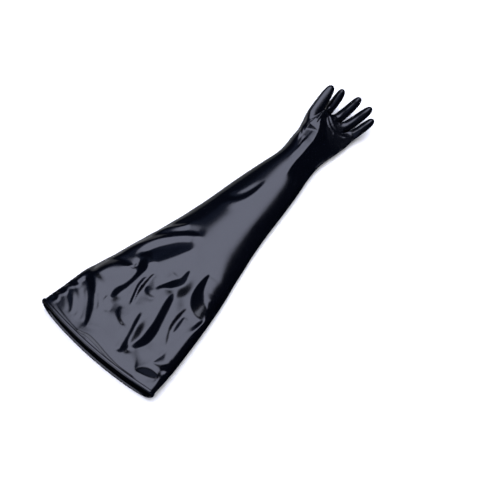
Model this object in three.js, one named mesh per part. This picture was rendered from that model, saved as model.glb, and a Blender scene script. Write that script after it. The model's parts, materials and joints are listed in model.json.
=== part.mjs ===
// A long rubber glove of the kind that is fitted to the port of an isolator or a glove box.
// It is one dipped film: a hand with five curved fingers, and a wide sleeve that ends in a rolled bead.
// The glove lies on its back with the palm up and the sleeve flattened, as it lies on a table.
// Millimetres, +Z up, the fingers point along +Y, and the thumb is on the -X side.

import * as THREE from "three";

// The whole glove and its film.
const gloveLength = 813; // cuff edge to middle fingertip, a 32 inch glove
const portDiameter = 203; // the ring that the cuff is stretched over, an 8 inch port
const wall = 1; // film thickness

// The sleeve, as it lies.
const mouthHeight = 40; // top of the open cuff above the table
const mouthSide = 18; // height of the two ends of the cuff, which the bead holds open
const mouthLean = 7.5; // the upper lip lies this far behind the lower one
const mouthSkew = 3.5; // the thumb's end of the cuff lies this far out, and the other end this far in
const mouthDepth = 100; // all of this fades out over this length from the cuff
const cuffBow = 12; // a flattened cone ends in an arc: the middle of the cuff stands out by this
const sideFoldHeight = 8; // height of the side folds behind the mouth
const cuffSquareness = 4.4; // of the upper sheet's section at the cuff: 2 is an oval, more is flatter
const wristWidth = 91;
const wristHeight = 54;
const wristDrift = 13; // the wrist lies this far to the little finger's side of the cuff's middle
const liftLength = 70; // the bead lifts the cuff off the table over this length
const foldStart = 25; // the folds grow over this length from the cuff
const foldRise = 10; // and over this height above the side folds

// The rolled bead at the cuff.
const beadDiameter = 4.8;
const beadClearance = 0.3; // between the bead and the film that it is rolled on
const beadSides = 9;

// The hand.
const palmLength = 113; // wrist to the knuckle of the middle finger
const palmWidth = 109; // at the knuckles
const palmHeight = 37; // at the knuckles
const thenarRise = 13; // the ball of the thumb above the palm
const heelRise = 3; // the little finger's side of the palm's heel
const palmHollow = 7; // depth of the hollow in the palm
const webDepth = 14; // the skin between two fingers lies this far past the knuckle line

// The fingers. setBack: how far the knuckle lies behind the middle finger's. base and tip: diameters.
// lift: the angle at which the finger leaves the palm. curl: how far it turns on from there to its tip.
// splay: its angle to the little finger's side.
const fingers = {
  index: { setBack: 3, length: 89, base: 25, tip: 19.5, lift: 24, curl: 36, splay: 9 },
  middle: { setBack: 0, length: 95, base: 26, tip: 20, lift: 19, curl: 28, splay: 18 },
  ring: { setBack: 4, length: 95, base: 26, tip: 20, lift: 15, curl: 25, splay: 22 },
  little: { setBack: 12, length: 82, base: 23, tip: 18.5, lift: 13, curl: 25, splay: 21 },
};
const thumb = { length: 107, base: 36, tip: 22, lift: 33, curl: -16, splay: -5 };
const fingerSegments = 4;

// How finely the surfaces are faceted.
const topColumns = 34; // round the upper sheet of the sleeve
const underColumns = 12; // round the sheet that lies on the table
const foldedRings = 25; // along the folded part of the sleeve
const smoothRings = 6; // along the smooth part, up to the wrist
const foldedShare = 0.52; // the folded part as a share of the sleeve's length
const sectionSteps = 180; // the steps in which a section's length is measured
const reachSteps = 40; // the steps in which the middle finger's reach is measured

// A cage ring of eight points stands outside the round that it makes, by this factor.
const cageSwell = 1.09;

// The sleeve's sections. along: share of the sleeve's length from the cuff. width: share of the way from
// the wrist's width to the cuff's. height: share of the way from the mouth's height to the wrist's.
// drift: share of the wrist's drift to the side.
const sleeveSections = [
  { along: 0.0, width: 1.0, height: 0.0, drift: 0.0 },
  { along: 0.06, width: 0.965, height: 0.1, drift: 0.12 },
  { along: 0.18, width: 0.88, height: 0.3, drift: 0.2 },
  { along: 0.34, width: 0.72, height: 0.45, drift: 0.42 },
  { along: 0.5, width: 0.505, height: 0.5, drift: 0.62 },
  { along: 0.655, width: 0.31, height: 0.6, drift: 0.72 },
  { along: 0.78, width: 0.2, height: 0.75, drift: 0.85 },
  { along: 0.85, width: 0.13, height: 0.85, drift: 0.98 },
  { along: 0.905, width: 0.065, height: 0.95, drift: 1.1 },
  { along: 0.96, width: -0.015, height: 1.0, drift: 1.2 },
  { along: 1.0, width: 0.0, height: 1.0, drift: 0.95 },
];

// The palm's sections, from the wrist to the knuckles. along: share of the palm's length. width: share of
// the way from the wrist's width to the palm's. height: share of the way from the wrist's height to the
// palm's. drift: share of the wrist's drift. round: 1 is an oval as at the wrist, 0 is flat on the table.
const palmSections = [
  { along: 0.0, width: 0.0, height: 0.0, drift: 0.95, round: 1.0 },
  { along: 0.22, width: 0.2, height: 0.25, drift: 0.78, round: 0.85 },
  { along: 0.43, width: 0.52, height: 0.48, drift: 0.9, round: 0.62 },
  { along: 0.62, width: 0.76, height: 0.68, drift: 1.0, round: 0.46 },
  { along: 0.8, width: 0.92, height: 0.86, drift: 1.1, round: 0.36 },
  { along: 0.96, width: 1.0, height: 1.0, drift: 1.18, round: 0.3 },
];

// The folds of the upper sheet. Each runs from x1, y1 to x2, y2 with a sideways bow. x: share of the cuff's
// half width. y: share of the sleeve's length. bow: share of the fold's own length. left and right: how far
// it spreads to each side of its line, as a share of the cuff's half width. depth: share of the mouth's
// height, less than nothing for a valley.
const folds = {
  // x1, y1, x2, y2, bow, left, right, depth
  "long left valley": [-0.8, 0.181, -0.29, 0.052, -0.09, 0.08, 0.1, -0.28],
  "left pillow": [-0.55, 0.298, -0.49, 0.192, 0, 0.2, 0.19, 0.2],
  "pillow's rim": [-0.73, 0.189, -0.35, 0.305, -0.235, 0.09, 0.09, -0.24],
  "double valley": [-0.4, 0.347, -0.29, 0.176, -0.09, 0.1, 0.1, -0.32],
  "upper long valley": [-0.75, 0.326, 0.01, 0.54, -0.08, 0.09, 0.1, -0.26],
  "wide valley": [-0.43, 0.327, 0.01, 0.492, -0.03, 0.12, 0.14, -0.22],
  "twin ridge": [-0.18, 0.326, -0.04, 0.185, 0.06, 0.09, 0.09, 0.12],
  "middle valley": [0.15, 0.424, 0.03, 0.292, -0.2, 0.1, 0.1, -0.26],
  "great crescent": [0.24, 0.34, 0.32, 0.082, -0.1, 0.11, 0.1, -0.42],
  "crescent's partner": [0.1, 0.211, 0.32, 0.066, 0, 0.09, 0.1, -0.22],
  "right shoulder": [0.4, 0.45, 0.83, 0.337, 0.2, 0.12, 0.12, -0.32],
  "right pillow": [0.69, 0.315, 0.73, 0.198, 0, 0.17, 0.14, 0.2],
  "right crease": [0.51, 0.324, 0.72, 0.169, 0.11, 0.09, 0.09, -0.18],
  "lower right crease": [0.72, 0.176, 0.67, 0.089, 0, 0.09, 0.09, -0.16],
  "corner leaf": [0.59, 0.05, 0.91, 0.089, -0.05, 0.09, 0.09, -0.26],
  "left ripple": [-0.84, 0.124, -0.49, 0.056, -0.1, 0.09, 0.09, -0.08],
};

// The cuff's flat width: the port's circumference, less what the arch of the upper sheet takes up.
const archExcess = ((8 / 3) * mouthHeight ** 2) / ((Math.PI * portDiameter) / 2);
const cuffWidth = (Math.PI * portDiameter - archExcess) / 2;

const degrees = Math.PI / 180;
const up = new THREE.Vector3(0, 0, 1);

// What the middle finger adds to the glove's length, and so what is left for the sleeve.
const middleTip = fingerPath(fingers.middle, new THREE.Vector3(), reachSteps).at(-1);
const sleeveLength = gloveLength - palmLength - middleTip.y;

// A smooth step from 0 at a to 1 at b.
function smooth(a, b, value) {
  const t = THREE.MathUtils.clamp((value - a) / (b - a), 0, 1);
  return t * t * (3 - 2 * t);
}

// Reads a column of a table at a share along it, on a curve that passes through every row.
function readTable(rows, column, share) {
  const last = rows.length - 1;
  let i = rows.findIndex((row) => row.along > share) - 1;
  if (i < 0) i = last - 1;
  const [a, b] = [rows[i], rows[i + 1]];
  const slope = (j) => {
    const [before, after] = [rows[Math.max(j - 1, 0)], rows[Math.min(j + 1, last)]];
    return (after[column] - before[column]) / (after.along - before.along);
  };
  const span = b.along - a.along;
  const t = (share - a.along) / span;
  const [t2, t3] = [t * t, t * t * t];
  return (
    (2 * t3 - 3 * t2 + 1) * a[column] +
    (t3 - 2 * t2 + t) * span * slope(i) +
    (3 * t2 - 2 * t3) * b[column] +
    (t3 - t2) * span * slope(i + 1)
  );
}

// A surface in the making: its points, and faces whose corners run anticlockwise seen from outside.
class Surface {
  points = [];
  faces = [];

  add(point) {
    return this.points.push(point.clone()) - 1;
  }

  addRing(points) {
    return points.map((point) => this.add(point));
  }

  // Faces between two rings with as many points each. They close round, one after the other along the tube.
  join(near, far) {
    near.forEach((corner, i) => {
      const next = (i + 1) % near.length;
      this.faces.push([corner, near[next], far[next], far[i]]);
    });
  }

  // Triangles between two rows of points of different numbers, which run side by side.
  zip(near, far) {
    let [i, j] = [0, 0];
    while (i < near.length - 1 || j < far.length - 1) {
      const nearIsBehind = (i + 1) / (near.length - 1) <= (j + 1) / (far.length - 1);
      if (j === far.length - 1 || (i < near.length - 1 && nearIsBehind)) {
        this.faces.push([near[i], near[i + 1], far[j]]);
        i += 1;
      } else {
        this.faces.push([near[i], far[j + 1], far[j]]);
        j += 1;
      }
    }
  }

  // Closes a ring with an even number of points by four-sided faces about one point.
  cap(ring, centre) {
    const middle = this.add(centre);
    for (let i = 0; i < ring.length; i += 2) {
      this.faces.push([ring[i], ring[i + 1], ring[(i + 2) % ring.length], middle]);
    }
  }

  // The faces cut into triangles.
  triangles() {
    return this.faces.flatMap(([a, b, c, d]) => (d === undefined ? [[a, b, c]] : [[a, b, c], [a, c, d]]));
  }

  // The outward direction at each point, from the areas of the faces round it.
  normals() {
    const sums = this.points.map(() => new THREE.Vector3());
    const [u, v] = [new THREE.Vector3(), new THREE.Vector3()];
    for (const triangle of this.triangles()) {
      const [a, b, c] = triangle.map((corner) => this.points[corner]);
      const area = u.subVectors(b, a).cross(v.subVectors(c, a));
      for (const corner of triangle) sums[corner].add(area);
    }
    return sums.map((sum) => sum.normalize());
  }

  geometry() {
    const made = new THREE.BufferGeometry();
    const numbers = this.points.flatMap((point) => point.toArray());
    made.setAttribute("position", new THREE.Float32BufferAttribute(numbers, 3));
    made.setIndex(this.triangles().flat());
    made.computeVertexNormals();
    return made;
  }
}

function meanPoint(points) {
  return points.reduce((sum, point) => sum.add(point), new THREE.Vector3()).divideScalar(points.length);
}

// One round of Catmull and Clark's subdivision, which smooths a cage of four-sided faces.
// It returns the finer surface, and a function that gives a ring of the cage as a ring of that surface.
function subdivide(cage) {
  const fine = new Surface();
  const edgeKey = (a, b) => (a < b ? `${a},${b}` : `${b},${a}`);
  const facePoints = cage.faces.map((face) => meanPoint(face.map((corner) => cage.points[corner])));
  const edges = new Map();
  const facesAt = new Map();
  cage.faces.forEach((face, f) => {
    face.forEach((a, i) => {
      const b = face[(i + 1) % face.length];
      const key = edgeKey(a, b);
      if (!edges.has(key)) edges.set(key, { ends: [a, b], faces: [] });
      edges.get(key).faces.push(f);
      facesAt.set(a, [...(facesAt.get(a) ?? []), f]);
    });
  });
  const edgesAt = new Map();
  for (const [key, edge] of edges) {
    const ends = edge.ends.map((end) => cage.points[end]);
    edge.middle = meanPoint(ends);
    const inside = edge.faces.length === 2;
    const around = [...ends, ...edge.faces.map((f) => facePoints[f])];
    edge.point = fine.add(inside ? meanPoint(around) : edge.middle);
    for (const end of edge.ends) edgesAt.set(end, [...(edgesAt.get(end) ?? []), key]);
  }
  const cornerPoint = new Map();
  for (const [corner, keys] of edgesAt) {
    const old = cage.points[corner];
    const rim = keys.map((key) => edges.get(key)).filter((edge) => edge.faces.length === 1);
    const count = keys.length;
    const moved = rim.length
      ? meanPoint(rim.map((edge) => edge.middle)).add(old).divideScalar(2)
      : meanPoint(facesAt.get(corner).map((f) => facePoints[f]))
          .addScaledVector(meanPoint(keys.map((key) => edges.get(key).middle)), 2)
          .addScaledVector(old, count - 3)
          .divideScalar(count);
    cornerPoint.set(corner, fine.add(moved));
  }
  cage.faces.forEach((face, f) => {
    const middle = fine.add(facePoints[f]);
    face.forEach((corner, i) => {
      const ahead = edges.get(edgeKey(corner, face[(i + 1) % face.length])).point;
      const behind = edges.get(edgeKey(face.at(i - 1), corner)).point;
      fine.faces.push([cornerPoint.get(corner), ahead, middle, behind]);
    });
  });
  const fineRing = (ring) =>
    ring.flatMap((corner, i) => {
      const next = ring[(i + 1) % ring.length];
      return [cornerPoint.get(corner), edges.get(edgeKey(corner, next)).point];
    });
  return { fine, fineRing };
}

// Turns an open surface into a film with a wall: its inner side, and a rim round the open ring.
function thicken(outer, openRing, thickness) {
  const shell = new Surface();
  const normals = outer.normals();
  shell.points = outer.points.map((point) => point.clone());
  shell.faces = [...outer.faces];
  const count = outer.points.length;
  outer.points.forEach((point, i) => shell.add(point.clone().addScaledVector(normals[i], -thickness)));
  for (const face of outer.faces) shell.faces.push(face.map((corner) => corner + count).reverse());
  const innerRing = openRing.map((corner) => corner + count);
  shell.join(innerRing, openRing);
  return shell;
}

// A closed section across the glove, from its left side over the top to the right and back underneath.
// It is half an oval above the side folds, squarer towards the cuff, and flat where it lies on the table.
function sectionPoint(section, angle) {
  const { centre, halfWidth, height, side, floor, overPower, underPower } = section;
  const above = Math.sin(angle) >= 0;
  const power = 2 / (above ? overPower : underPower);
  const across = Math.sign(Math.cos(angle)) * Math.abs(Math.cos(angle)) ** power;
  const rise = Math.abs(Math.sin(angle)) ** power;
  const flatReach = 1.12;
  const beneath = Math.max(floor, side - (side - floor) * flatReach * rise);
  const z = above ? side + (height - side) * rise : beneath;
  return new THREE.Vector2(centre + halfWidth * across, z);
}

// Points round a section at even steps: some over the top, and some underneath.
function sectionRing(section, over, under) {
  const half = (start, end, count) => {
    const fine = Array.from({ length: sectionSteps + 1 }, (_, i) =>
      sectionPoint(section, THREE.MathUtils.lerp(start, end, i / sectionSteps)),
    );
    const lengths = [0];
    for (let i = 1; i <= sectionSteps; i += 1) {
      lengths.push(lengths[i - 1] + fine[i].distanceTo(fine[i - 1]));
    }
    return Array.from({ length: count }, (_, step) => {
      const wanted = (lengths.at(-1) * step) / count;
      const i = Math.max(1, lengths.findIndex((length) => length >= wanted));
      const t = (wanted - lengths[i - 1]) / (lengths[i] - lengths[i - 1]);
      return fine[i - 1].clone().lerp(fine[i], Math.max(0, t));
    });
  };
  return [...half(Math.PI, 0, over), ...half(0, -Math.PI, under)];
}

// The sleeve's section at a share of its length.
function sleeveSection(share) {
  const widthShare = readTable(sleeveSections, "width", share);
  const heightShare = readTable(sleeveSections, "height", share);
  const height = THREE.MathUtils.lerp(mouthHeight, wristHeight, heightShare) - beadLift();
  const floor = beadLift() * (1 - smooth(0, liftLength, share * sleeveLength));
  const roundness = smooth(0.3, 1, share);
  const opened = (mouthSide - sideFoldHeight) * mouthShape(share);
  return {
    centre: wristDrift * readTable(sleeveSections, "drift", share),
    halfWidth: THREE.MathUtils.lerp(wristWidth, cuffWidth, widthShare) / 2,
    height: height + beadLift() * smooth(0, liftLength, share * sleeveLength),
    side: THREE.MathUtils.lerp(sideFoldHeight, wristHeight * 0.45, roundness) + floor + opened,
    floor,
    overPower: THREE.MathUtils.lerp(cuffSquareness, 2, smooth(0.1, 0.62, share)),
    underPower: 2.6,
  };
}

// How much of the mouth's own shape is left at a share of the sleeve's length.
function mouthShape(share) {
  return 1 - smooth(0, mouthDepth, share * sleeveLength);
}

// The bead is thicker than the film, so the film leaves it this far above the table.
function beadLift() {
  return (beadDiameter - wall) / 2;
}

// The height that the folds add at a place on the upper sheet.
function foldHeight(x, y) {
  const halfWidth = cuffWidth / 2;
  let height = 0;
  for (const [x1, y1, x2, y2, bow, left, right, depth] of Object.values(folds)) {
    const start = new THREE.Vector2(x1 * halfWidth, y1 * sleeveLength);
    const end = new THREE.Vector2(x2 * halfWidth, y2 * sleeveLength);
    const run = end.clone().sub(start);
    const length = run.length();
    run.divideScalar(length);
    const offset = new THREE.Vector2(x, y).sub(start);
    const along = offset.dot(run) / length;
    if (along <= 0 || along >= 1) continue;
    const bowed = 4 * bow * length * along * (1 - along);
    const aside = offset.cross(run) - bowed;
    const reach = (aside < 0 ? left : right) * halfWidth;
    if (Math.abs(aside) >= reach) continue;
    const profile = (1 - (aside / reach) ** 2) ** 2;
    const ends = smooth(0, 0.3, along) * smooth(0, 0.3, 1 - along);
    height += depth * mouthHeight * profile * ends;
  }
  return height;
}

// One ring of the sleeve. The cuff's arc fades out along it, and folds show on the upper sheet only.
function sleeveRing(share) {
  const section = sleeveSection(share);
  return sectionRing(section, topColumns, underColumns).map(({ x, y: z }, column) => {
    const across = (x - section.centre) / section.halfWidth;
    const arc = cuffBow * (1 - share) ** 2 * across ** 2;
    const slant = (mouthSkew * across + (mouthLean * z) / mouthHeight) * mouthShape(share);
    const y = share * sleeveLength + arc + slant;
    const onTop = column < topColumns ? smooth(section.side, section.side + foldRise, z) : 0;
    const atCuff = smooth(0, foldStart, share * sleeveLength);
    return new THREE.Vector3(x, y, z + onTop * atCuff * foldHeight(x, y));
  });
}

// The way that a finger's middle takes from its root: it leaves the palm at the lift angle and curls on
// from there.
function fingerPath({ length, lift, curl, splay }, root, steps) {
  const path = [root.clone()];
  for (let i = 0; i < steps; i += 1) {
    const rise = (lift + (curl * (i + 0.5)) / steps) * degrees;
    const side = splay * degrees;
    const level = Math.cos(rise);
    const ahead = new THREE.Vector3(Math.sin(side) * level, Math.cos(side) * level, Math.sin(rise));
    path.push(path.at(-1).clone().addScaledVector(ahead, length / steps));
  }
  return path;
}

// Grows a finger out of a ring of eight points in the cage, and closes its tip.
function growFinger(cage, baseRing, finger, root) {
  const path = fingerPath(finger, root, fingerSegments + 1);
  let ring = baseRing;
  for (let i = 1; i <= fingerSegments + 1; i += 1) {
    const ahead = path[i].clone().sub(path[i - 1]).normalize();
    const right = ahead.clone().cross(up).normalize();
    const above = right.clone().cross(ahead);
    const share = i / (fingerSegments + 1);
    const last = i === fingerSegments + 1;
    const diameter = THREE.MathUtils.lerp(finger.base, finger.tip, share) * (last ? 0.72 : 1);
    const middle = last ? path[i].clone().addScaledVector(ahead, -finger.tip * 0.22) : path[i];
    const points = ring.map((_, corner) => {
      const angle = (135 - 45 * corner) * degrees;
      return middle
        .clone()
        .addScaledVector(right, (Math.cos(angle) * diameter * cageSwell) / 2)
        .addScaledVector(above, (Math.sin(angle) * diameter * cageSwell) / 2);
    });
    const next = cage.addRing(points);
    cage.join(ring, next);
    ring = next;
    if (last) cage.cap(ring, path[i].clone().addScaledVector(ahead, finger.tip * 0.04));
  }
}

// One ring of the palm's cage, with the ball of the thumb, the heel and the hollow of the palm.
function palmRing(share) {
  const round = readTable(palmSections, "round", share);
  const section = {
    centre: wristDrift * readTable(palmSections, "drift", share),
    halfWidth: THREE.MathUtils.lerp(wristWidth, palmWidth, readTable(palmSections, "width", share)) / 2,
    height: THREE.MathUtils.lerp(wristHeight, palmHeight, readTable(palmSections, "height", share)),
    side: wristHeight * THREE.MathUtils.lerp(0.36, 0.45, round),
    floor: 0,
    overPower: 2,
    underPower: 2.6,
  };
  const halfRing = 10;
  return sectionRing(section, halfRing, halfRing).map(({ x, y: z }, column) => {
    const across = (x - section.centre) / section.halfWidth;
    const overTop = column > 0 && column < halfRing;
    const bump = (middleAcross, middleAlong, reachAcross, reachAlong) =>
      Math.exp(-(((across - middleAcross) / reachAcross) ** 2) - ((share - middleAlong) / reachAlong) ** 2);
    const relief =
      thenarRise * bump(-0.62, 0.5, 0.4, 0.3) +
      heelRise * bump(0.62, 0.35, 0.3, 0.35) -
      palmHollow * bump(0.18, 0.68, 0.4, 0.3);
    const setBack =
      fingers.little.setBack * smooth(0.1, 1, across) + fingers.index.setBack * smooth(0.1, 1, -across);
    const y = sleeveLength + palmLength * share - setBack * smooth(0.3, 1, share);
    return new THREE.Vector3(x, y, z + (overTop ? relief : 0));
  });
}

// The hand as a cage of four-sided faces: the palm's rings, the webs between the fingers, the fingers and
// the thumb.
function handCage() {
  const cage = new Surface();
  const rings = palmSections.map(({ along }) => cage.addRing(palmRing(along)));
  const [thumbColumns, thumbRings] = [[0, 1], [2, 3]];
  for (let r = 0; r < rings.length - 1; r += 1) {
    rings[r].forEach((corner, column) => {
      const next = (column + 1) % rings[r].length;
      if (thumbColumns.includes(column) && thumbRings.includes(r)) return;
      cage.faces.push([corner, rings[r][next], rings[r + 1][next], rings[r + 1][column]]);
    });
  }
  const knuckles = rings.at(-1);
  const bottomOf = (column) => (knuckles.length - column) % knuckles.length;
  const webs = [3, 5, 7].map((column) => {
    const [over, beneath] = [cage.points[knuckles[column]], cage.points[knuckles[bottomOf(column)]]];
    return cage.add(over.clone().add(beneath).divideScalar(2).add(new THREE.Vector3(0, webDepth, 0)));
  });
  const sides = [knuckles[0], ...webs, knuckles[10]];
  Object.values(fingers).forEach((finger, i) => {
    const first = 2 * i + 1;
    const over = [first, first + 1, first + 2];
    const ring = [
      ...over.map((column) => knuckles[column]),
      sides[i + 1],
      ...over.map((column) => knuckles[bottomOf(column)]).reverse(),
      sides[i],
    ];
    const root = meanPoint(ring.map((corner) => cage.points[corner]));
    growFinger(cage, ring, finger, root);
  });
  const [a, b, c] = [rings[2], rings[3], rings[4]];
  const thumbRing = [a[0], a[1], a[2], b[2], c[2], c[1], c[0], b[0]];
  const root = cage.points[b[1]].clone().lerp(cage.points[b[2]], 0.5);
  root.z -= thumb.base * 0.3;
  growFinger(cage, thumbRing, thumb, root);
  return { cage, wristRing: rings[0] };
}

// The film: the hand, smoothed, with the sleeve's rings joined on to it down to the cuff.
function filmSurface() {
  const { cage, wristRing } = handCage();
  const { fine, fineRing } = subdivide(cage);
  const shares = [
    ...Array.from({ length: foldedRings }, (_, i) => (foldedShare * i) / foldedRings),
    ...Array.from({ length: smoothRings }, (_, i) => foldedShare + ((1 - foldedShare) * i) / smoothRings),
  ];
  const rings = shares.map((share) => fine.addRing(sleeveRing(share)));
  rings.slice(1).forEach((ring, i) => fine.join(rings[i], ring));
  const [last, wrist] = [rings.at(-1), fineRing(wristRing)];
  const halfWrist = wrist.length / 2;
  fine.zip(last.slice(0, topColumns + 1), wrist.slice(0, halfWrist + 1));
  fine.zip([...last.slice(topColumns), last[0]], [...wrist.slice(halfWrist), wrist[0]]);
  return { film: fine, cuffRing: rings[0], nextRing: rings[1] };
}

// The bead: a round roll with a slot that the edge of the film sits in, all the way round the cuff.
function beadSurface(film, cuffRing, nextRing, normals) {
  const bead = new Surface();
  const radius = beadDiameter / 2;
  const slot = wall / 2 + beadClearance;
  const mouthAngle = Math.asin(slot / radius);
  const section = Array.from({ length: beadSides + 1 }, (_, i) => {
    const angle = mouthAngle + ((2 * Math.PI - 2 * mouthAngle) * i) / beadSides;
    return new THREE.Vector2(Math.cos(angle) * radius, Math.sin(angle) * radius);
  });
  section.push(new THREE.Vector2(-beadClearance, -slot), new THREE.Vector2(-beadClearance, slot));
  const rings = cuffRing.map((corner, i) => {
    const edge = film.points[corner].clone().addScaledVector(normals[corner], -wall / 2);
    const inward = film.points[nextRing[i]].clone().sub(film.points[corner]).normalize();
    const lean = normals[corner].dot(inward);
    const outward = normals[corner].clone().addScaledVector(inward, -lean).normalize();
    return bead.addRing(
      section.map(({ x, y }) => edge.clone().addScaledVector(inward, x).addScaledVector(outward, y)),
    );
  });
  rings.forEach((ring, i) => bead.join(ring, rings[(i + 1) % rings.length]));
  return bead;
}

const rubber = (name) =>
  new THREE.MeshStandardMaterial({ name, color: 0x0b0c10, roughness: 0.18, metalness: 0 });

const glove = new THREE.Group();
const { film, cuffRing, nextRing } = filmSurface();
const bead = beadSurface(film, cuffRing, nextRing, film.normals());

const filmMesh = new THREE.Mesh(thicken(film, cuffRing, wall).geometry(), rubber("dipped rubber"));
filmMesh.name = "glove_film";
const beadMesh = new THREE.Mesh(bead.geometry(), rubber("rolled rubber"));
beadMesh.name = "cuff_bead";
glove.add(filmMesh, beadMesh);

// The origin is on the table, under the middle of the glove's box.
const box = new THREE.Box3().setFromObject(glove);
const middle = box.getCenter(new THREE.Vector3());
glove.position.set(-middle.x, -middle.y, -box.min.z);

export default glove;
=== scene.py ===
"""A long black rubber glove for an isolator, lying on its back on a pale table.

The hand is taken from the frame's film and refined. The sleeve is pulled out of its wrist, ring by ring,
and then folded as the real one lies. The bead is rolled round the cuff. Lengths are in metres in the frame,
and in millimetres in the tables of folds. There x is across the glove, and y runs from the cuff to the
fingers.
"""

import json
from math import cos, hypot, pi, radians, sin

import bmesh
import bpy
import numpy as np
from mathutils import Matrix, Vector

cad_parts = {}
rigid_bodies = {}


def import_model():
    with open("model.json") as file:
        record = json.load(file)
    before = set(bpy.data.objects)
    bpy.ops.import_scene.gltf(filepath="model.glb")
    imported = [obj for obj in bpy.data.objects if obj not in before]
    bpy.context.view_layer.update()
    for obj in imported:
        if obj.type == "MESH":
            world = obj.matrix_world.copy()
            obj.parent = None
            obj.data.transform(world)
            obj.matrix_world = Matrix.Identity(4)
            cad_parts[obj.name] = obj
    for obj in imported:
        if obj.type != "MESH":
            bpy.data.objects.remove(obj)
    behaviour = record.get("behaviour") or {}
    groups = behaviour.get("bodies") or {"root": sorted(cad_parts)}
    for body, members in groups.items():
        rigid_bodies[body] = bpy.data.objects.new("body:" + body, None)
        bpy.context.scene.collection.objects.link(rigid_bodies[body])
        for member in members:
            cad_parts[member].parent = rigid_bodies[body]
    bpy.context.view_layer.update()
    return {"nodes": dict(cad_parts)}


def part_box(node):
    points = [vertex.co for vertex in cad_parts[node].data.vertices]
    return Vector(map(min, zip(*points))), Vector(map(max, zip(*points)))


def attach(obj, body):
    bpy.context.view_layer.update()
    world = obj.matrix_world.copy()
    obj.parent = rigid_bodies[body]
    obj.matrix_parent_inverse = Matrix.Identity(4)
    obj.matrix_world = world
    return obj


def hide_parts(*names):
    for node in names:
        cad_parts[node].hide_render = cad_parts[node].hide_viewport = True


MM = 0.001

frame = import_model()
bpy.ops.object.select_all(action="DESELECT")
bead_low, bead_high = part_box("cuff_bead")
CUFF_Y = bead_low.y / MM  # the front of the cuff, in millimetres

# The glove's sizes, in millimetres, as the frame has them.
FILM = 1.0
BEAD = 4.8
BEAD_BAND = 8.5  # how wide the roll is along the sleeve
CUFF_HALF = (bead_high.x - bead_low.x) / MM / 2 - BEAD / 2
CUFF_BOW = 12  # how far the cuff's two sides lie back from its middle
SIDE_FOLD = 8  # the height of the fold at each side of the flattened sleeve
MOUTH_HEIGHT, MOUTH_SIDE = 40, 18  # the open mouth, at its middle and at its sides
MOUTH_LEAN, MOUTH_SKEW = 7.5, 3.5  # how far its upper lip and its right side lie back
MOUTH_DEPTH = 100  # how far into the sleeve the mouth's shape reaches
WRIST_WIDTH, WRIST_HEIGHT = 91, 54
WRIST_DRIFT = 13  # how far the wrist lies to the right of the cuff's middle
WRIST_LEAN = -9  # how far the top of the sleeve leans to the left just before the wrist

# The rings of the sleeve's cage are dense up to this share of its length, where it is folded.
FOLDED_END, FOLDED_RINGS, SMOOTH_RINGS = 0.56, 36, 10
RING_SHIFT = 5.5  # how many of a ring's steps move on to the upper sheet, towards the cuff

# How square the section is at the cuff, where 2 is round: its two upper corners, and its underside.
LEFT_CORNER, RIGHT_CORNER, UNDERSIDE = 10, 14, 2.6

# The camera: degrees, metres from what it looks at, and its focal length in pixels of a picture 500 wide.
AZIMUTH, ELEVATION, DISTANCE, FOCAL = 42.24, 64.86, 2.1073, 990.3
LOOKS_AT = Vector((0.07424, -0.01178, 0))

# The sleeve's sections, as in the frame: share of its length from the cuff, then shares of the way
# from the wrist's width to the cuff's, from the mouth's height to the wrist's, and of the wrist's drift.
SLEEVE = [
    # along, width, height, drift
    (0.0, 1.0, 0.0, 0.0),
    (0.06, 0.965, 0.1, 0.12),
    (0.18, 0.88, 0.3, 0.2),
    (0.34, 0.72, 0.45, 0.42),
    (0.5, 0.505, 0.5, 0.62),
    (0.655, 0.31, 0.6, 0.72),
    (0.78, 0.2, 0.75, 0.85),
    (0.85, 0.13, 0.85, 0.98),
    (0.905, 0.065, 0.95, 1.1),
    (0.96, -0.015, 1.0, 1.2),
    (1.0, 0.0, 1.0, 0.95),
]

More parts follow.
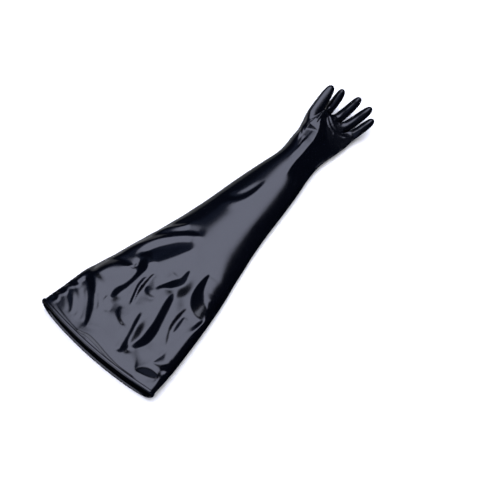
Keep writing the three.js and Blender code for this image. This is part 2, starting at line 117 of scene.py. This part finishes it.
# The folds of the upper sheet: walls between a high side and a low side. Each wall runs through its points,
# which give its width there too. Slope says how steep it is, and is above 0 where the sheet is lower on the
# right of the wall, seen along it. Left and right say how far the sheet takes, on each side, to come back to
# its height.
FOLDS = {
    # slope, left, right, points (x, y, width)
    "long left valley": (
        -0.34, 30, 45,
        [(-43, 30, 3), (-54, 50, 9), (-68, 71, 13), (-83, 89, 14), (-99, 104, 16), (-114, 113, 18),
         (-129, 117, 14)],
    ),
    "short crease by it": (-0.3, 10, 16, [(-50, 75, 2), (-63, 89, 6), (-77, 102, 2)]),
    "rim of the left pillow": (
        -0.27, 14, 40,
        [(-119, 122, 8), (-115, 140, 20), (-109, 160, 18), (-97, 176, 14), (-80, 186, 13), (-62, 190, 10),
         (-48, 190, 2)],
    ),
    "double valley": (
        -0.34, 34, 22,
        [(-45, 106, 6), (-50, 128, 15), (-45, 150, 11), (-43, 170, 10), (-45, 190, 12), (-48, 204, 18),
         (-62, 213, 16), (-78, 208, 5)],
    ),
    "first twin line": (-0.4, 14, 5, [(-8, 124, 2), (-18, 145, 5), (-27, 168, 6), (-30, 194, 3)]),
    "second twin line": (
        0.42, 5, 24, [(-5, 130, 2), (-16, 158, 5), (-20, 185, 6), (-21, 203, 4), (-14, 216, 2)],
    ),
    "left cup": (0.26, 16, 12, [(-60, 113, 3), (-57, 98, 7), (-48, 90, 7), (-33, 87, 2)]),
    "right cup": (0.24, 16, 12, [(-23, 112, 3), (-16, 99, 6), (-5, 91, 7), (8, 87, 6), (16, 92, 2)]),
    "smile": (0.3, 14, 14, [(-13, 180, 3), (-7, 171, 7), (7, 168, 8), (20, 175, 2)]),
    "middle valley": (
        -0.36, 26, 24,
        [(3, 184, 2), (12, 200, 10), (24, 216, 19), (33, 233, 18), (31, 249, 11), (26, 266, 3)],
    ),
    "great crescent": (
        -0.38, 24, 36,
        [(50, 56, 4), (59, 73, 14), (66, 92, 21), (65, 112, 22), (60, 134, 18), (53, 158, 16), (46, 182, 15),
         (42, 194, 13), (40, 204, 8), (37, 218, 2)],
    ),
    "crescent's partner": (
        -0.36, 18, 16, [(52, 42, 10), (46, 53, 16), (39, 68, 10), (33, 88, 8), (25, 110, 8), (17, 134, 2)],
    ),
    "right shoulder": (
        0.46, 44, 44,
        [(63, 288, 2), (67, 264, 12), (74, 240, 22), (88, 222, 30), (106, 213, 30), (130, 212, 24)],
    ),
    "right pillow's line": (
        -0.4, 12, 44, [(80, 204, 2), (81, 172, 3), (86, 146, 3), (97, 126, 3), (110, 108, 2)],
    ),
    "mark on the right pillow": (-0.3, 12, 14, [(98, 140, 3), (94, 160, 8), (89, 184, 3)]),
    "lower pillow's line": (-0.4, 10, 34, [(110, 108, 2), (109, 88, 3), (107, 68, 2)]),
    "lower pillow's foot": (0.34, 24, 10, [(106, 68, 2), (122, 72, 6), (136, 80, 12), (146, 92, 4)]),
    "corner leaf": (0.45, 34, 24, [(92, 34, 2), (104, 43, 11), (118, 50, 14), (131, 54, 10), (142, 57, 2)]),
    "groove behind the roll": (
        0.5, 26, 4,
        [(-136, 31, 2), (-100, 23, 2), (-60, 18, 2), (-46, 18, 4), (-26, 23, 6), (0, 22, 6), (30, 19, 5),
         (60, 18, 4), (88, 21, 3), (120, 27, 2), (142, 33, 2)],
    ),
    "thumb's side of the sleeve": (
        -0.36, 10, 60,
        [(-130, 116, 6), (-126, 140, 18), (-121, 180, 20), (-111, 220, 20), (-97, 270, 18), (-84, 320, 16),
         (-70, 380, 10)],
    ),
    "upper long valley": (
        -0.3, 22, 26,
        [(-124, 196, 5), (-110, 222, 10), (-94, 250, 12), (-76, 276, 12), (-58, 296, 12), (-39, 316, 12),
         (-20, 331, 11), (4, 338, 3)],
    ),
    "wide valley": (
        -0.17, 20, 46,
        [(-74, 202, 6), (-58, 222, 26), (-46, 245, 34), (-34, 266, 34), (-22, 286, 30), (-9, 302, 20),
         (2, 314, 4)],
    ),
    "bright shoulder": (
        -0.4, 12, 14, [(-106, 270, 3), (-93, 289, 8), (-78, 309, 8), (-62, 326, 8), (-46, 344, 3)],
    ),
    "upper bow": (-0.24, 14, 24, [(-50, 428, 4), (-26, 440, 12), (-9, 456, 12), (1, 482, 11), (5, 520, 4)]),
    "first scratch": (-0.5, 4, 6, [(61, 548, 2), (54, 561, 5), (46, 576, 2)]),
    "second scratch": (-0.5, 4, 6, [(69, 528, 2), (60, 538, 5), (52, 546, 2)]),
}

# The crumpled edge of the sleeve at the thumb's side, as a crease of one width, and the fan of fine wrinkles
# next to it.
EDGE_SLOPE, EDGE_WIDTH, FAN_SLOPE = -0.4, 5, -0.14
EDGE = [(-141, 26), (-134, 36), (-140, 46), (-132, 59), (-138, 70), (-125, 87), (-137, 93), (-129, 102)]
FAN = [
    [(-76, 32, 4), (-82, 50, 9), (-100, 70, 9), (-128, 82, 4)],
    [(-88, 32, 4), (-98, 46, 8), (-114, 58, 8), (-128, 64, 3)],
    [(-62, 34, 4), (-70, 52, 8), (-86, 72, 7), (-108, 92, 3)],
]

# Soft swellings and hollows of the upper sheet.
SWELLS = [
    # x, y, radius across, radius along, height
    (-78, 150, 36, 36, 3.0),
    (116, 158, 24, 36, 1.2),
    (128, 96, 20, 26, 1.0),
    (80, 78, 22, 20, -1.6),
    (-38, 98, 16, 12, -1.4),
    (-38, 455, 24, 24, 0.8),
]

# Patches of the upper sheet that lean to the thumb's side, and so look greyer.
LEANS = [
    # x, y, radius across, radius along, slope
    (-22, 99, 40, 13, 0.1),
    (120, 156, 18, 34, 0.12),
    (37, 160, 14, 34, 0.07),
    (72, 66, 30, 14, 0.07),
    (-112, 62, 24, 30, 0.05),
    (-74, 132, 22, 16, 0.05),
    (-15, 203, 14, 12, 0.08),
    (9, 628, 14, 50, 0.07),
]

# The palm: a ridge runs from the wrist over the ball of the thumb, and the film falls from it to the side of
# the little finger.
RIDGE = [
    # y, ridge x, ridge height, length of the steep part, fall past it, how far the film is raised to it
    (540, 27, 53.0, 0, 0.45, 0),
    (590, 22, 52.8, 0, 0.7, 0),
    (628, 19.5, 52.5, 0, 0.7, 0),
    (668, 15, 51.0, 10, 0.6, 10),
    (698, 6, 54.0, 24, 0.42, 24),
    (712, -3, 56.0, 14, 0.38, 42),
    (735, -14, 58.0, 8, 0.37, 56),
]
STEEP = 0.9  # the fall of the steep part
RIDGE_RISE = 0.05  # the film's rise to the thumb's side of the ridge

# The creases of the hand, as walls like those of the sleeve.
HAND_FOLDS = {
    "crease of the thumb": (
        0.7, 60, 45, [(-30, 683, 3), (-22, 686, 12), (-8, 690, 8), (2, 692, 4), (16, 696, 1)],
    ),
    "first palm line": (0.6, 4, 4, [(-4, 736, 2), (6, 727, 4), (18, 722, 4), (34, 719, 2)]),
    "second palm line": (0.6, 4, 4, [(-4, 742, 2), (10, 733, 4), (24, 728, 4), (40, 729, 4), (56, 734, 2)]),
    "third palm line": (0.55, 4, 4, [(2, 746, 2), (14, 748, 4), (28, 743, 2)]),
}

# The thumb's middle line, its radius at both ends, how square its face is at the left and right edge, where 2
# is round, and how high the face stands, as a share of the radius.
THUMB = [Vector((-22, 690, 32)), Vector((-33, 792, 74))]
THUMB_RADII = (17.5, 11)
THUMB_EDGES = (2.8, 4.0)
THUMB_FACE = 0.94


def linear(hex_colour):
    """An sRGB colour such as 1a2b3c as linear light, with full opacity."""
    parts = [int(hex_colour[i : i + 2], 16) / 255 for i in (0, 2, 4)]
    return [p / 12.92 if p <= 0.04045 else ((p + 0.055) / 1.055) ** 2.4 for p in parts] + [1]


def smooth(a, b, value):
    """A smooth step from 0 at a to 1 at b."""
    t = np.clip((value - a) / (b - a), 0, 1)
    return t * t * (3 - 2 * t)


def table_at(rows, column, share):
    """Reads a column of a table of sections on a curve that passes through every row."""
    last = len(rows) - 1
    i = max(0, min(last - 1, next((k for k, row in enumerate(rows) if row[0] > share), last) - 1))

    def slope(j):
        before, after = rows[max(j - 1, 0)], rows[min(j + 1, last)]
        return (after[column] - before[column]) / (after[0] - before[0])

    a, b = rows[i], rows[i + 1]
    span = b[0] - a[0]
    t = (share - a[0]) / span
    return (
        (2 * t**3 - 3 * t**2 + 1) * a[column]
        + (t**3 - 2 * t**2 + t) * span * slope(i)
        + (3 * t**2 - 2 * t**3) * b[column]
        + (t**3 - t**2) * span * slope(i + 1)
    )


def through(points, steps=8):
    """A smooth line through a list of points, as many short steps."""
    points = [np.array(p, float) for p in points]
    ends = [2 * points[0] - points[1]] + points + [2 * points[-1] - points[-2]]
    line = []
    for a, b, c, d in zip(ends, ends[1:], ends[2:], ends[3:]):
        for k in range(steps):
            t = k / steps
            bend, twist = 2 * a - 5 * b + 4 * c - d, 3 * b - a - 3 * c + d
            line.append(0.5 * (2 * b + (c - a) * t + bend * t**2 + twist * t**3))
    return np.array(line + [points[-1]])


def beside(line, x, y):
    """How far each place lies to the right of a line, and how far along it, as a share."""
    best = np.full(x.shape, 1e9)
    aside = np.zeros(x.shape)
    along = np.zeros(x.shape)
    lengths = np.hypot(*(line[1:] - line[:-1]).T)
    total, done = lengths.sum(), 0.0
    for (ax, ay), (bx, by), length in zip(line, line[1:], lengths):
        ux, uy = (bx - ax) / length, (by - ay) / length
        run = (x - ax) * ux + (y - ay) * uy
        t = np.clip(run, 0, length)
        distance = np.hypot(x - ax - t * ux, y - ay - t * uy)
        closer = distance < best
        right = (x - ax) * uy - (y - ay) * ux
        best = np.where(closer, distance, best)
        aside = np.where(closer, np.sign(right) * distance, aside)
        along = np.where(closer, (done + t) / total, along)
        done += length
    return aside, along


def wall_profile(t):
    """From 1 on a wall's left to -1 on its right: straight over the wall, and rounded at its two edges."""
    size = np.abs(t)
    rounded = 0.8 + (size - 0.8) - (size - 0.8) ** 2 / 0.8
    return -np.sign(t) * np.where(size < 0.8, size, np.where(size < 1.2, rounded, 1.0))


def fold_height(x, y, slope, left, right, points):
    """The height that one fold adds to the sheet."""
    line = through(points)
    aside, along = beside(line[:, :2], x, y)
    steps = np.hypot(*np.diff(line[:, :2], axis=0).T)
    shares = np.concatenate([[0], np.cumsum(steps)]) / steps.sum()
    half = np.maximum(np.interp(along, shares, line[:, 2]), 0.5) / 2
    fall = wall_profile(aside / half)
    back = 1 - smooth(0, 1, np.where(aside < 0, (-aside - half) / left, (aside - half) / right))
    ends = smooth(0, 0.12, along) * smooth(0, 0.12, 1 - along)
    return slope * half * fall * back * ends


def section_point(section, angle):
    """A place on the sleeve's closed section. It is a squared oval above and lies flat below."""
    centre, half_width, height, side, floor, under, over_left, over_right, lean = section
    above = sin(angle) >= 0
    power = 2 / under if not above else 2 / over_right if cos(angle) > 0 else 2 / over_left
    across = (1 if cos(angle) >= 0 else -1) * abs(cos(angle)) ** power
    rise = abs(sin(angle)) ** power
    z = side + (height - side) * rise if above else max(floor, side - (side - floor) * 1.12 * rise)
    return centre + half_width * across + (lean * rise if above else 0), z


def section_ring(section, count, shift):
    """Points at even steps over the top and underneath. shift moves that many steps on to the top."""
    halves = []
    for start, end in ((pi, 0), (0, -pi)):
        fine = [section_point(section, start + (end - start) * i / 240) for i in range(241)]
        lengths = np.cumsum([0] + [hypot(b[0] - a[0], b[1] - a[1]) for a, b in zip(fine, fine[1:])])
        halves.append((lengths / lengths[-1], np.array(fine)))
    points = []
    over = count / 2 + 2 * shift
    for column in range(count):
        place = (column + shift) % count
        half, share = (0, place / over) if place <= over else (1, (place - over) / (count - over))
        shares, fine = halves[half]
        points.append((np.interp(share, shares, fine[:, 0]), np.interp(share, shares, fine[:, 1])))
    return points


def sleeve_section(share, length):
    """The sleeve's section at a share of its length: its sizes, its corners' squareness and its lean."""
    lift = (BEAD - FILM) / 2  # the bead holds the film's edge off the table
    rise = float(smooth(0, 70, share * length))
    roundness = float(smooth(0.3, 1, share))
    width = WRIST_WIDTH + (2 * CUFF_HALF - WRIST_WIDTH) * table_at(SLEEVE, 1, share)
    height = MOUTH_HEIGHT + (WRIST_HEIGHT - MOUTH_HEIGHT) * table_at(SLEEVE, 2, share) - lift * (1 - rise)
    floor = lift * (1 - rise)
    opened = (MOUTH_SIDE - SIDE_FOLD) * float(1 - smooth(0, MOUTH_DEPTH, share * length))
    side = SIDE_FOLD + (WRIST_HEIGHT * 0.45 - SIDE_FOLD) * roundness + floor + opened
    over_left = LEFT_CORNER - 7 * float(smooth(0.14, 0.3, share)) - 1.0 * float(smooth(0.3, 0.62, share))
    over_right = RIGHT_CORNER - 12 * float(smooth(0.1, 0.55, share))
    lean = WRIST_LEAN * float(smooth(0.8, 0.97, share)) * float(1 - smooth(0.97, 1, share))
    centre = WRIST_DRIFT * table_at(SLEEVE, 3, share)
    return centre, width / 2, height, side, floor, UNDERSIDE, over_left, over_right, lean


def choose(mesh, test):
    """Selects the vertices that pass a test, in edit mode."""
    bpy.ops.mesh.select_mode(type="VERT")
    bpy.ops.mesh.select_all(action="DESELECT")
    shape = bmesh.from_edit_mesh(mesh)
    for vertex in shape.verts:
        vertex.select = test(vertex)
    shape.select_flush(True)
    bmesh.update_edit_mesh(mesh)


def apply_modifier(piece, kind, **settings):
    bpy.context.view_layer.objects.active = piece
    modifier = piece.modifiers.new(kind.lower(), kind)
    for name, value in settings.items():
        setattr(modifier, name, value)
    bpy.ops.object.modifier_apply(modifier=modifier.name)


def wrist_ring(shape):
    """Where the hand begins: the first ring of the film, past its middle, that lies in one plane."""
    count = {}
    for vertex in shape.verts:
        place = round(vertex.co.y / MM, 2)
        count[place] = count.get(place, 0) + 1
    return min(place for place, number in count.items() if number >= 36 and place > 100) * MM


def make_glove():
    """The dipped film: the frame's hand, cut off at its wrist, out of which the sleeve is pulled afterwards.
    """
    source = frame["nodes"]["glove_film"]
    glove = bpy.data.objects.new("glove", source.data.copy())
    bpy.context.scene.collection.objects.link(glove)
    glove.data.materials.clear()
    bpy.context.view_layer.objects.active = glove
    glove.select_set(True)
    bpy.ops.object.mode_set(mode="EDIT")
    bpy.ops.mesh.select_all(action="SELECT")
    bpy.ops.mesh.remove_doubles(threshold=0.01 * MM)
    wrist = wrist_ring(bmesh.from_edit_mesh(glove.data))
    choose(glove.data, lambda v: v.co.y < wrist - 0.1 * MM)
    bpy.ops.mesh.delete(type="VERT")
    tip = max(bmesh.from_edit_mesh(glove.data).verts, key=lambda v: v.co.y).index
    choose(glove.data, lambda v: v.index == tip)
    bpy.ops.mesh.select_linked()
    bpy.ops.mesh.select_all(action="INVERT")
    bpy.ops.mesh.delete(type="VERT")
    bpy.ops.mesh.select_all(action="SELECT")
    bpy.ops.mesh.tris_convert_to_quads(face_threshold=radians(60), shape_threshold=radians(60))
    bpy.ops.object.mode_set(mode="OBJECT")
    return glove


def pull_sleeve(glove):
    """Pulls the sleeve's cage out of the wrist's open edge, one ring after another."""
    mesh = glove.data
    bpy.ops.object.mode_set(mode="EDIT")
    shape = bmesh.from_edit_mesh(mesh)
    edge = [v for v in shape.verts if v.is_boundary]
    start = min(edge, key=lambda v: v.co.x)
    ring, at = [start], start
    while True:
        options = [e.other_vert(at) for e in at.link_edges if e.is_boundary and e.other_vert(at) not in ring]
        if not options:
            break
        at = max(options, key=lambda v: v.co.z) if len(ring) == 1 else options[0]
        ring.append(at)
    ring = [v.index for v in ring]
    count = len(ring)
    wrist_y = start.co.y / MM
    length = wrist_y - CUFF_Y - BEAD / 2
    shares = [1 - (1 - FOLDED_END) * i / SMOOTH_RINGS for i in range(1, SMOOTH_RINGS)]
    shares += [FOLDED_END * (1 - i / FOLDED_RINGS) for i in range(FOLDED_RINGS + 1)]
    for share in shares:
        bpy.ops.mesh.select_mode(type="EDGE")
        bpy.ops.mesh.select_all(action="DESELECT")
        shape = bmesh.from_edit_mesh(mesh)
        shape.verts.ensure_lookup_table()
        shape.edges.ensure_lookup_table()
        around = set(ring)
        for e in shape.edges:
            if e.is_boundary and e.verts[0].index in around and e.verts[1].index in around:
                e.select = True
        bmesh.update_edit_mesh(mesh)
        bpy.ops.mesh.extrude_edges_move()
        shape = bmesh.from_edit_mesh(mesh)
        shape.verts.index_update()
        shape.verts.ensure_lookup_table()
        fresh = []
        for index in ring:
            vertex = shape.verts[index]
            others = [e.other_vert(vertex) for e in vertex.link_edges]
            fresh.append(next(v for v in others if v.select and v.index not in around))
        section = sleeve_section(share, length)
        shift = RING_SHIFT * float(smooth(0, 0.7, 1 - share))
        mouth = float(1 - smooth(0, MOUTH_DEPTH, share * length))
        for vertex, (x, z) in zip(fresh, section_ring(section, count, shift)):
            across = (x - section[0]) / section[1]
            slant = (MOUTH_SKEW * across + MOUTH_LEAN * z / MOUTH_HEIGHT) * mouth
            y = CUFF_Y + BEAD / 2 + share * length + CUFF_BOW * (1 - share) ** 2 * across**2 + slant
            vertex.co = Vector((x, y, z)) * MM
        ring = [v.index for v in fresh]
        bmesh.update_edit_mesh(mesh)
    bpy.ops.mesh.select_all(action="SELECT")
    bpy.ops.mesh.normals_make_consistent(inside=False)
    bpy.ops.object.mode_set(mode="OBJECT")
    return length


def palm_change(x, y, z):
    """How far the palm's film moves to lie on its ridge and on the slope beside it."""
    rows = np.array(RIDGE)
    ridge_x, ridge_z, steep, fall, reach = (np.interp(y, rows[:, 0], rows[:, k]) for k in (1, 2, 3, 4, 5))
    past = x - ridge_x
    begins = 654 - 54 * smooth(-4, 8, x)
    left = (ridge_z - RIDGE_RISE * past - z) * smooth(-28, -16, x) * smooth(0, 12, y - begins)
    drop = STEEP * np.minimum(past, steep) + fall * np.maximum(past - steep, 0)
    change = ridge_z - drop - z
    right = np.where(past < reach, change, np.minimum(change, 0)) * smooth(540, 590, y)
    return np.where(past < 0, left, right) * (1 - smooth(738, 762, y))


def flatten_thumb(co):
    """The thumb's inner face is broad and nearly flat, where a plain finger is round."""
    start, end = THUMB
    ahead = (end - start).normalized()
    right = ahead.cross(Vector((0, 0, 1))).normalized()
    above = right.cross(ahead)
    offset = co - np.array((start.x, start.y + CUFF_Y, start.z))
    along = offset @ np.array(ahead) / (end - start).length
    across, rise = offset @ np.array(right), offset @ np.array(above)
    radius = np.interp(along, (0, 1), THUMB_RADII)
    share = np.minimum(np.abs(across) / radius, 1)
    power = np.where(across < 0, *THUMB_EDGES)
    flat = radius * ((1 - share**power) ** (1 / power) * THUMB_FACE - np.sqrt(1 - share**2))
    near = (np.abs(across) < radius * 1.05) & (rise > 0) & (rise < radius * 1.4)
    near = near & (along > 0) & (along < 1.05)
    weight = near * smooth(0.15, 0.4, along) * (1 - smooth(0.9, 1.02, along)) * smooth(0, 0.35, rise / radius)
    co += (flat * weight)[:, None] * np.array(above)


def shape_film(glove, length):
    """Moves the upper sheet up and down by the folds and the swellings."""
    mesh = glove.data
    co = np.empty(len(mesh.vertices) * 3)
    mesh.vertices.foreach_get("co", co)
    co = co.reshape(-1, 3) / MM
    normal = np.empty(len(mesh.vertices) * 3)
    mesh.vertices.foreach_get("normal", normal)
    normal = normal.reshape(-1, 3)
    x, y, z = co[:, 0], co[:, 1] - CUFF_Y, co[:, 2]
    facing_up = smooth(0.0, 0.35, normal[:, 2])
    sleeve = facing_up * smooth(5, 16, y) * (1 - smooth(length - 40, length - 10, y))
    sleeve_height = np.zeros(len(co))
    for slope, left, right, points in FOLDS.values():
        sleeve_height += fold_height(x, y, slope, left, right, points)
    sleeve_height += fold_height(x, y, EDGE_SLOPE, 8, 8, [(px, py, EDGE_WIDTH) for px, py in EDGE])
    for points in FAN:
        sleeve_height += fold_height(x, y, FAN_SLOPE, 10, 14, points)
    for px, py, rx, ry, rise in SWELLS:
        sleeve_height += rise * np.exp(-(((x - px) / rx) ** 2) - ((y - py) / ry) ** 2)
    lean = np.zeros(len(co))
    for px, py, rx, ry, slope in LEANS:
        lean += slope * (x - px) * np.exp(-(((x - px) / rx) ** 2) - ((y - py) / ry) ** 2)
    low = np.clip((62 - z) / 8, 0, 1)  # the palm only, not the thumb and the fingers above it
    hand = facing_up * smooth(length - 80, length - 40, y) * low
    hand_height = palm_change(x, y, z)
    for slope, left, right, points in HAND_FOLDS.values():
        hand_height += fold_height(x, y, slope, left, right, points)
    co[:, 2] += sleeve_height * sleeve + hand_height * hand + lean * np.maximum(sleeve, hand)
    flatten_thumb(co)
    mesh.vertices.foreach_set("co", (co * MM).ravel())
    mesh.update()


def flatten_bead(bead, edge):
    """The roll is pressed flat: wider along the sleeve than it is thick, and lying back from the edge."""
    for vertex in bead.data.vertices:
        place = np.array(vertex.co)
        middle = edge[np.argmin(((edge - place) ** 2).sum(1))]
        vertex.co.y = middle[1] + (place[1] - middle[1]) * BEAD_BAND / BEAD + (BEAD_BAND - BEAD) / 2 * MM


def make_bead(glove):
    """The rolled bead: the cuff's edge as a curve, given its round section."""
    bpy.ops.object.select_all(action="DESELECT")
    bead = glove.copy()
    bead.data = glove.data.copy()
    bead.name = "rolled_bead"
    bpy.context.scene.collection.objects.link(bead)
    bpy.context.view_layer.objects.active = bead
    bead.select_set(True)
    bpy.ops.object.mode_set(mode="EDIT")
    choose(bead.data, lambda v: not v.is_boundary)
    bpy.ops.mesh.delete(type="VERT")
    bpy.ops.mesh.select_all(action="SELECT")
    bpy.ops.mesh.delete(type="ONLY_FACE")
    bpy.ops.object.mode_set(mode="OBJECT")
    edge = np.array([v.co for v in bead.data.vertices])
    bpy.ops.object.convert(target="CURVE")
    bead.data.bevel_depth = BEAD / 2 * MM
    bead.data.bevel_resolution = 5
    bpy.ops.object.convert(target="MESH")
    bead.select_set(False)
    flatten_bead(bead, edge)
    return bead


def place_camera():
    """The camera stands where the photo was taken from, and looks down at the glove."""
    azimuth, elevation = radians(AZIMUTH), radians(ELEVATION)
    back = Vector((sin(azimuth) * cos(elevation), -cos(azimuth) * cos(elevation), sin(elevation)))
    right = Vector((cos(azimuth), sin(azimuth), 0))
    camera = bpy.data.objects.new("camera", bpy.data.cameras.new("camera"))
    bpy.context.scene.collection.objects.link(camera)
    camera.data.sensor_width = 36
    camera.data.lens = FOCAL / 500 * camera.data.sensor_width
    camera.data.clip_end = 50
    turn = Matrix((right, back.cross(right), back)).transposed().to_4x4()
    camera.matrix_world = Matrix.Translation(LOOKS_AT + back * DISTANCE) @ turn
    bpy.context.scene.camera = camera


def add_node(tree, kind, settings=None, links=None, **attributes):
    """Adds a node, sets its attributes and sockets, and links its inputs."""
    node = tree.nodes.new(kind)
    for name, value in attributes.items():
        setattr(node, name, value)
    for name, value in (settings or {}).items():
        node.inputs[name].default_value = value
    for name, source in (links or {}).items():
        tree.links.new(source, node.inputs[name])
    return node


def dipped_rubber():
    """Black chlorosulphonated polyethylene rubber, dipped on a form and cured.

    The cured skin of a dip is glossy and mirrors the lamps sharply. Its thickness varies a little as it runs
    down the form, which gives the faint waves, and dust and handling give the uneven haze.
    """
    material = bpy.data.materials.new("dipped rubber")
    material.use_nodes = True
    tree = material.node_tree
    tree.nodes.clear()
    place = add_node(tree, "ShaderNodeTexCoord").outputs["Object"]
    waves = add_node(  # about 22 mm apart
        tree,
        "ShaderNodeTexNoise",
        {"Scale": 45.0, "Detail": 3.0, "Roughness": 0.5},
        {"Vector": place},
    )
    haze = add_node(  # patches of about 90 mm
        tree,
        "ShaderNodeTexNoise",
        {"Scale": 11.0, "Detail": 5.0, "Roughness": 0.6},
        {"Vector": place},
    )
    rough = add_node(
        tree,
        "ShaderNodeMapRange",
        {"From Min": 0.3, "From Max": 0.7, "To Min": 0.13, "To Max": 0.2},
        {"Value": haze.outputs["Fac"]},
    )
    bump = add_node(
        tree, "ShaderNodeBump", {"Strength": 0.12, "Distance": 0.001}, {"Height": waves.outputs["Fac"]}
    )
    shader = add_node(
        tree,
        "ShaderNodeBsdfPrincipled",
        {"Base Color": linear("030408"), "IOR": 1.52},
        {"Roughness": rough.outputs["Result"], "Normal": bump.outputs["Normal"]},
    )
    add_node(tree, "ShaderNodeOutputMaterial", None, {"Surface": shader.outputs["BSDF"]})
    return material


def add_panel(name, place, aim, width, height, power, colour, seen=True):
    """A flat studio light that faces a place."""
    data = bpy.data.lights.new(name, "AREA")
    data.shape = "RECTANGLE"
    data.size, data.size_y = width, height
    data.energy = power
    data.color = linear(colour)[:3]
    light = bpy.data.objects.new(name, data)
    bpy.context.scene.collection.objects.link(light)
    light.location = place
    light.rotation_euler = (Vector(place) - Vector(aim)).to_track_quat("Z", "Y").to_euler()
    light.visible_glossy = seen


def light_scene():
    """A softbox overhead, weaker panels at the cuff's and the thumb's side, and a light for the table alone.

    The glove mirrors the panels and not the table, so its left rim shows those below the table's level.
    """
    world = bpy.data.worlds.new("studio")
    world.use_nodes = True
    world.node_tree.nodes["Background"].inputs["Color"].default_value = linear("0a1440")
    world.node_tree.nodes["Background"].inputs["Strength"].default_value = 0.1
    bpy.context.scene.world = world
    bpy.context.scene.view_settings.view_transform = "Standard"
    bpy.ops.mesh.primitive_plane_add(size=8, location=(0, 0, 0))
    floor = bpy.context.object
    floor.name = "table"
    material = bpy.data.materials.new("pale table")
    material.use_nodes = True
    shader = material.node_tree.nodes["Principled BSDF"]
    shader.inputs["Base Color"].default_value = linear("f4f4f6")
    shader.inputs["Roughness"].default_value = 0.9
    floor.data.materials.append(material)
    floor.visible_glossy = False
    floor.visible_shadow = False
    for size, power in ((1.0, 28), (0.86, 14), (0.7, 7)):  # one over another, so that its edge is soft
        place = (-0.25, 0.55, 1.9 + 0.001 * power)
        add_panel("overhead softbox", place, (-0.25, 0.55, 0), 1.62 * size, 2.95 * size, power, "dfe4ff")
    add_panel("strip at the cuff's side", (-0.75, -1.75, 1.75), (0, 0.3, 0), 0.8, 1.1, 9, "e6eaff")
    add_panel("dim fill at the cuff's side", (0.4, -2.3, 1.3), (0, 0, 0.3), 3.6, 2.1, 10, "aab8e6")
    add_panel("dim panel beside the softbox", (-1.45, 0.4, 1.91), (-1.45, 0.4, 0), 0.8, 2.6, 1.6, "8ea4e0")
    add_panel("card at the thumb's side", (-2.2, 0.65, -0.27), (0, 0.65, -0.27), 1.9, 1.3, 3.2, "f4f6ff")
    add_panel("panel under the table's edge", (-0.95, 0.0, -0.45), (-0.95, 0.0, 1), 1.5, 2.4, 5, "f4f6ff")
    add_panel("table light", (0.3, 0.1, 2.6), (0.1, 0.1, 0), 3.0, 3.0, 100, "ffffff", seen=False)


place_camera()
glove = make_glove()
sleeve_length = pull_sleeve(glove)
apply_modifier(glove, "SUBSURF", levels=2, render_levels=2)
shape_film(glove, sleeve_length)
bead = make_bead(glove)
apply_modifier(glove, "SOLIDIFY", thickness=FILM * MM, offset=-1)
rubber = dipped_rubber()
for piece in (glove, bead):
    bpy.context.view_layer.objects.active = piece
    piece.select_set(True)
    bpy.ops.object.shade_smooth()
    piece.select_set(False)
    piece.data.materials.clear()
    piece.data.materials.append(rubber)
    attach(piece, "root")
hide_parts("glove_film")
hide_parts("cuff_bead")
light_scene()
